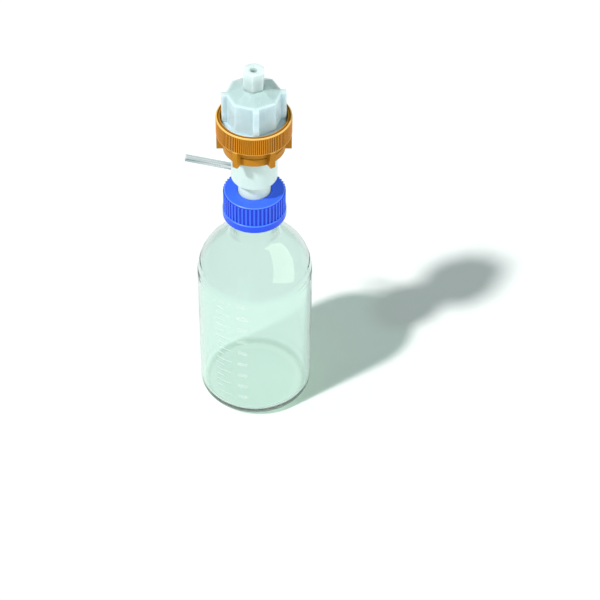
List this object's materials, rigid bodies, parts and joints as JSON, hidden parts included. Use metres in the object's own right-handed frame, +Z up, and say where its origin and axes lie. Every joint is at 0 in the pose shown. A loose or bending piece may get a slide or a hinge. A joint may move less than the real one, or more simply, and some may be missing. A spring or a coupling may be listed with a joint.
{
  "type": "vacuum filtration unit",
  "caption": "Bottle-top vacuum filtration unit: glass screw-neck bottle, open cap, filter housing with side tube, knurled ring nut and closed ribbed cup with a hexagonal inlet.",
  "frame": {"origin": "centre of the bottle's foot, in the plane it stands on", "axes": "+Z up along the bottle's axis, -Y to the front, side tube toward -X"},
  "size_m": [0.109, 0.101, 0.3572],
  "materials": {
    "bottle_glass": "clear borosilicate glass with a faint green cast",
    "blue_plastic": "satin moulded polypropylene",
    "ochre_plastic": "glass-filled moulded plastic, satin",
    "white_plastic": "turned fluoropolymer, waxy satin",
    "translucent_plastic": "milky moulded fluoropolymer, slightly translucent",
    "clear_tubing": "clear thick-walled tubing",
    "seal_rubber": "grey silicone",
    "membrane_paper": "white membrane filter"
  },
  "bodies": {
    "base": {"bottle": "bottle_glass", "mouth_seal": "seal_rubber", "lower_housing": "white_plastic", "vacuum_tube": "clear_tubing", "support_disc": "white_plastic", "filter_membrane": "membrane_paper"},
    "cap_ring": {"slip_ring": "white_plastic"},
    "cap": {"open_cap": "blue_plastic"},
    "nut": {"ring_nut": "ochre_plastic"},
    "cup": {"upper_cup": "translucent_plastic", "chamber_oring": "seal_rubber"},
    "ferrule": {"inlet_ferrule": "white_plastic"},
    "inlet": {"inlet_nut": "translucent_plastic"}
  },
  "joints": [
    {"name": "cap_turn", "type": "hinge", "parent": "cap_ring", "child": "cap", "pos_m": [0, 0, 0.218], "axis": [0, 0, 1], "range_deg": [0, 900]},
    {"name": "cap_rise", "type": "slide", "parent": "base", "child": "cap_ring", "axis": [0, 0, 1], "range_m": [0, 0.01]},
    {"name": "nut_turn", "type": "hinge", "parent": "base", "child": "nut", "pos_m": [0, 0, 0.295], "axis": [0, 0, -1], "range_deg": [0, 540]},
    {"name": "cup_rise", "type": "slide", "parent": "base", "child": "cup", "axis": [0, 0, 1], "range_m": [0, 0.006]},
    {"name": "inlet_turn", "type": "hinge", "parent": "ferrule", "child": "inlet", "pos_m": [0, 0, 0.348], "axis": [0, 0, 1], "range_deg": [0, 1260]},
    {"name": "inlet_rise", "type": "slide", "parent": "cup", "child": "ferrule", "axis": [0, 0, 1], "range_m": [0, 0.007]}
  ],
  "couplings": [
    {"joint": "cap_rise", "follows": "cap_turn", "m_per_rad": 0.00063662},
    {"joint": "cup_rise", "follows": "nut_turn", "m_per_rad": 0.00063662},
    {"joint": "inlet_rise", "follows": "inlet_turn", "m_per_rad": 0.00031831}
  ]
}
